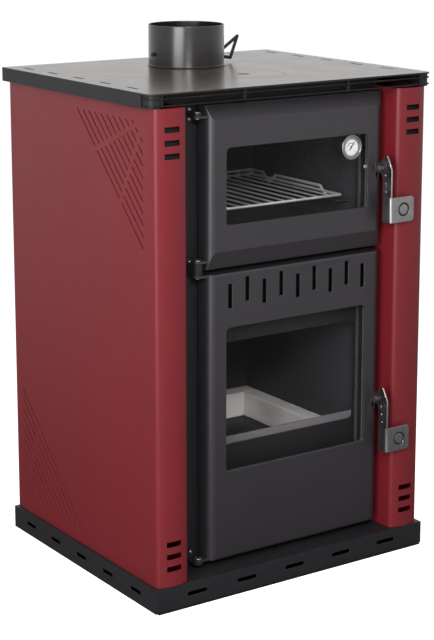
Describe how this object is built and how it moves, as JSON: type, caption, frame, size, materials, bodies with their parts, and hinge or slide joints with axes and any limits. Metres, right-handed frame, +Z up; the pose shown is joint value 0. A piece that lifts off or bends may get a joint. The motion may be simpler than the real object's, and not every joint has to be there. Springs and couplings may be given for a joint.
{
  "type": "wood-burning stove with oven",
  "caption": "Upright wood stove with an oven above a glazed firebox, flat cooktop with a lift-out lid, round flue collar with damper and slotted side panels.",
  "frame": {"origin": "on the floor, under the middle of the whole outline including the lever tabs at the front", "axes": "+X to the right seen from the front, +Y to the back, +Z up"},
  "size_m": [0.5724, 0.496, 0.9228],
  "materials": {
    "red_panel": "satin dark red enamel",
    "door_paint": "matt dark grey stove paint",
    "black_steel": "matt black stove paint",
    "satin_top": "satin black stove paint",
    "inner_steel": "bare inner steel dulled by heat",
    "cast_iron": "rough cast",
    "chrome": "polished",
    "zinc_steel": "zinc plated",
    "firebrick": "pale grey light firebrick",
    "rope": "woven glass-fibre rope",
    "glass": "clear ceramic glass",
    "dial": "white printed dial without words",
    "needle": "black"
  },
  "bodies": {
    "stove": {"base_plinth": "black_steel", "front_frame": "black_steel", "firebox_body": "inner_steel", "firebox_back": "inner_steel", "oven_box": "inner_steel", "smoke_baffle": "inner_steel", "hearth_plate": "inner_steel", "grate": "cast_iron", "firebrick_left": "firebrick", "firebrick_right": "firebrick", "firebrick_back": "firebrick", "log_guard": "inner_steel", "side_panel_left": "red_panel", "side_panel_right": "red_panel", "rear_cover": "black_steel", "air_panel": "black_steel", "air_duct": "black_steel", "top_plate": "satin_top", "front_grille": "satin_top", "flue_collar": "satin_top", "hinge_bracket_top": "black_steel", "hinge_bracket_middle": "black_steel", "hinge_bracket_bottom": "black_steel", "hinge_pin_top": "zinc_steel", "hinge_pin_middle": "zinc_steel", "hinge_pin_bottom": "zinc_steel", "oven_latch_keeper": "zinc_steel", "fire_latch_keeper": "zinc_steel", "rack_runner_left": "inner_steel", "rack_runner_right": "inner_steel"},
    "oven_door": {"oven_door_shell": "door_paint", "oven_door_glass_seal": "rope", "oven_door_glass": "glass", "oven_door_inner_frame": "black_steel", "oven_door_rope": "rope", "oven_latch_pin": "zinc_steel", "thermometer_cup": "chrome", "thermometer_nut": "zinc_steel", "thermometer_dial": "dial", "thermometer_lens": "glass"},
    "fire_door": {"fire_door_shell": "door_paint", "fire_door_glass_seal": "rope", "fire_door_glass": "glass", "fire_door_inner_frame": "black_steel", "fire_door_rope": "rope", "fire_latch_pin": "zinc_steel"},
    "oven_lever": {"oven_latch_lever": "chrome"},
    "fire_lever": {"fire_latch_lever": "chrome"},
    "needle": {"thermometer_needle": "needle"},
    "damper": {"damper_disc": "cast_iron", "damper_spindle": "zinc_steel"},
    "lid": {"cooking_lid": "satin_top"},
    "rack": {"oven_rack": "chrome"},
    "ash_drawer": {"ash_pan": "zinc_steel"},
    "air_shutter": {"air_slide": "zinc_steel"}
  },
  "joints": [
    {"name": "oven_door_hinge", "type": "hinge", "parent": "stove", "child": "oven_door", "pos_m": [-0.17, -0.194, 0.6855], "axis": [0, 0, -1], "range_deg": [0, 110]},
    {"name": "fire_door_hinge", "type": "hinge", "parent": "stove", "child": "fire_door", "pos_m": [-0.17, -0.194, 0.2975], "axis": [0, 0, -1], "range_deg": [0, 110]},
    {"name": "oven_lever_turn", "type": "hinge", "parent": "oven_door", "child": "oven_lever", "pos_m": [0.1915, -0.22, 0.69], "axis": [-1, 0, 0], "range_deg": [0, 30]},
    {"name": "fire_lever_turn", "type": "hinge", "parent": "fire_door", "child": "fire_lever", "pos_m": [0.1915, -0.22, 0.281], "axis": [-1, 0, 0], "range_deg": [0, 30]},
    {"name": "needle_turn", "type": "hinge", "parent": "oven_door", "child": "needle", "pos_m": [0.13, -0.2115, 0.73], "axis": [0, 1, 0], "range_deg": [-150, 90], "stiffness_Nm_per_rad": 0.0001},
    {"name": "damper_turn", "type": "hinge", "parent": "stove", "child": "damper", "pos_m": [0, 0.095, 0.872], "axis": [1, 0, 0], "range_deg": [0, 90]},
    {"name": "lid_lift", "type": "slide", "parent": "stove", "child": "lid", "axis": [0, 0, 1], "range_m": [0, 0.06]},
    {"name": "rack_slide", "type": "slide", "parent": "stove", "child": "rack", "axis": [0, -1, 0], "range_m": [0, 0.05]},
    {"name": "ash_pan_slide", "type": "slide", "parent": "stove", "child": "ash_drawer", "axis": [0, -1, 0], "range_m": [0, 0.04]},
    {"name": "air_shutter_slide", "type": "slide", "parent": "stove", "child": "air_shutter", "axis": [1, 0, 0], "range_m": [0, 0.06]}
  ]
}
